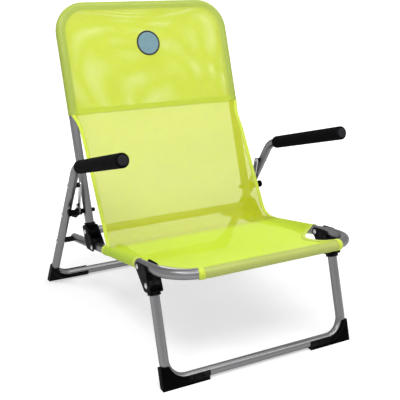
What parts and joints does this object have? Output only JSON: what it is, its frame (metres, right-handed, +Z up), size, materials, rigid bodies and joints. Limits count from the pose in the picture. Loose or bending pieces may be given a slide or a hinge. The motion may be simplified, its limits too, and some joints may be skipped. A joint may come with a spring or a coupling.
{
  "type": "folding camp chair",
  "caption": "Low folding camp chair: a mesh sling on bent steel tube frames, foam armrests, folding front legs and a backrest with a pin-and-plate recline lock.",
  "frame": {"origin": "centre of the chair's box, on the floor", "axes": "+Z up; the chair faces -Y; +X is the sitter's left"},
  "size_m": [0.565, 0.6922, 0.7356],
  "materials": {
    "silver_tube": "satin silver powder coat",
    "black_plastic": "satin moulded nylon",
    "grey_plastic": "moulded end cap",
    "black_foam": "closed-cell foam",
    "bright_steel": "zinc plated",
    "lime_mesh": "coated open mesh",
    "patch_cloth": "plain woven patch"
  },
  "bodies": {
    "seat": {"seat_frame_tube": "silver_tube", "spreader_bar": "silver_tube", "bracket_rivets": "bright_steel", "back_pivot_pins": "bright_steel", "leg_pivot_pins": "bright_steel", "rear_pivot_pins": "bright_steel", "rear_pivot_spacer_left": "black_plastic", "rear_pivot_spacer_right": "black_plastic", "seat_end_plug_left": "black_plastic", "seat_end_plug_right": "black_plastic", "back_bracket_left": "black_plastic", "back_bracket_right": "black_plastic", "leg_bracket_left": "black_plastic", "leg_bracket_right": "black_plastic", "seat_panel": "lime_mesh"},
    "backrest": {"back_frame_tube": "silver_tube", "back_knuckle_left": "black_plastic", "back_knuckle_right": "black_plastic", "lock_housing_left": "black_plastic", "lock_housing_right": "black_plastic", "hood": "lime_mesh", "hood_patch": "patch_cloth", "back_panel": "lime_mesh"},
    "front_legs": {"front_leg_tube": "silver_tube", "leg_knuckle_left": "black_plastic", "leg_knuckle_right": "black_plastic", "front_foot_left": "black_plastic", "front_foot_right": "black_plastic"},
    "rear_frame": {"rear_arm_tube": "silver_tube", "rear_foot_left": "black_plastic", "rear_foot_right": "black_plastic", "arm_grip_left": "black_foam", "arm_grip_right": "black_foam", "arm_cap_left": "grey_plastic", "arm_cap_right": "grey_plastic", "recline_plate_left": "black_plastic", "recline_plate_right": "black_plastic", "recline_strap_left": "bright_steel", "recline_strap_right": "bright_steel", "recline_guard_left": "black_plastic", "recline_guard_right": "black_plastic", "recline_spacers": "black_plastic", "recline_rivets": "bright_steel"},
    "left_lock": {"lock_pin_left": "bright_steel", "lock_knob_left": "black_plastic"},
    "right_lock": {"lock_pin_right": "bright_steel", "lock_knob_right": "black_plastic"}
  },
  "joints": [
    {"name": "backrest_fold", "type": "hinge", "parent": "seat", "child": "backrest", "pos_m": [0, 0.12564, 0.20463], "axis": [1, 0, 0], "range_deg": [-24, 95], "deforming": ["back_panel"]},
    {"name": "front_leg_fold", "type": "hinge", "parent": "seat", "child": "front_legs", "pos_m": [0, -0.23777, 0.20727], "axis": [1, 0, 0], "range_deg": [0, 94]},
    {"name": "rear_frame_fold", "type": "hinge", "parent": "seat", "child": "rear_frame", "pos_m": [0, 0.24165, 0.147], "axis": [1, 0, 0], "range_deg": [0, 45]},
    {"name": "left_lock_pull", "type": "slide", "parent": "backrest", "child": "left_lock", "axis": [-1, 0, 0], "range_m": [0, 0.006], "stiffness_N_per_m": 400},
    {"name": "right_lock_pull", "type": "slide", "parent": "backrest", "child": "right_lock", "axis": [1, 0, 0], "range_m": [0, 0.006], "stiffness_N_per_m": 400}
  ]
}
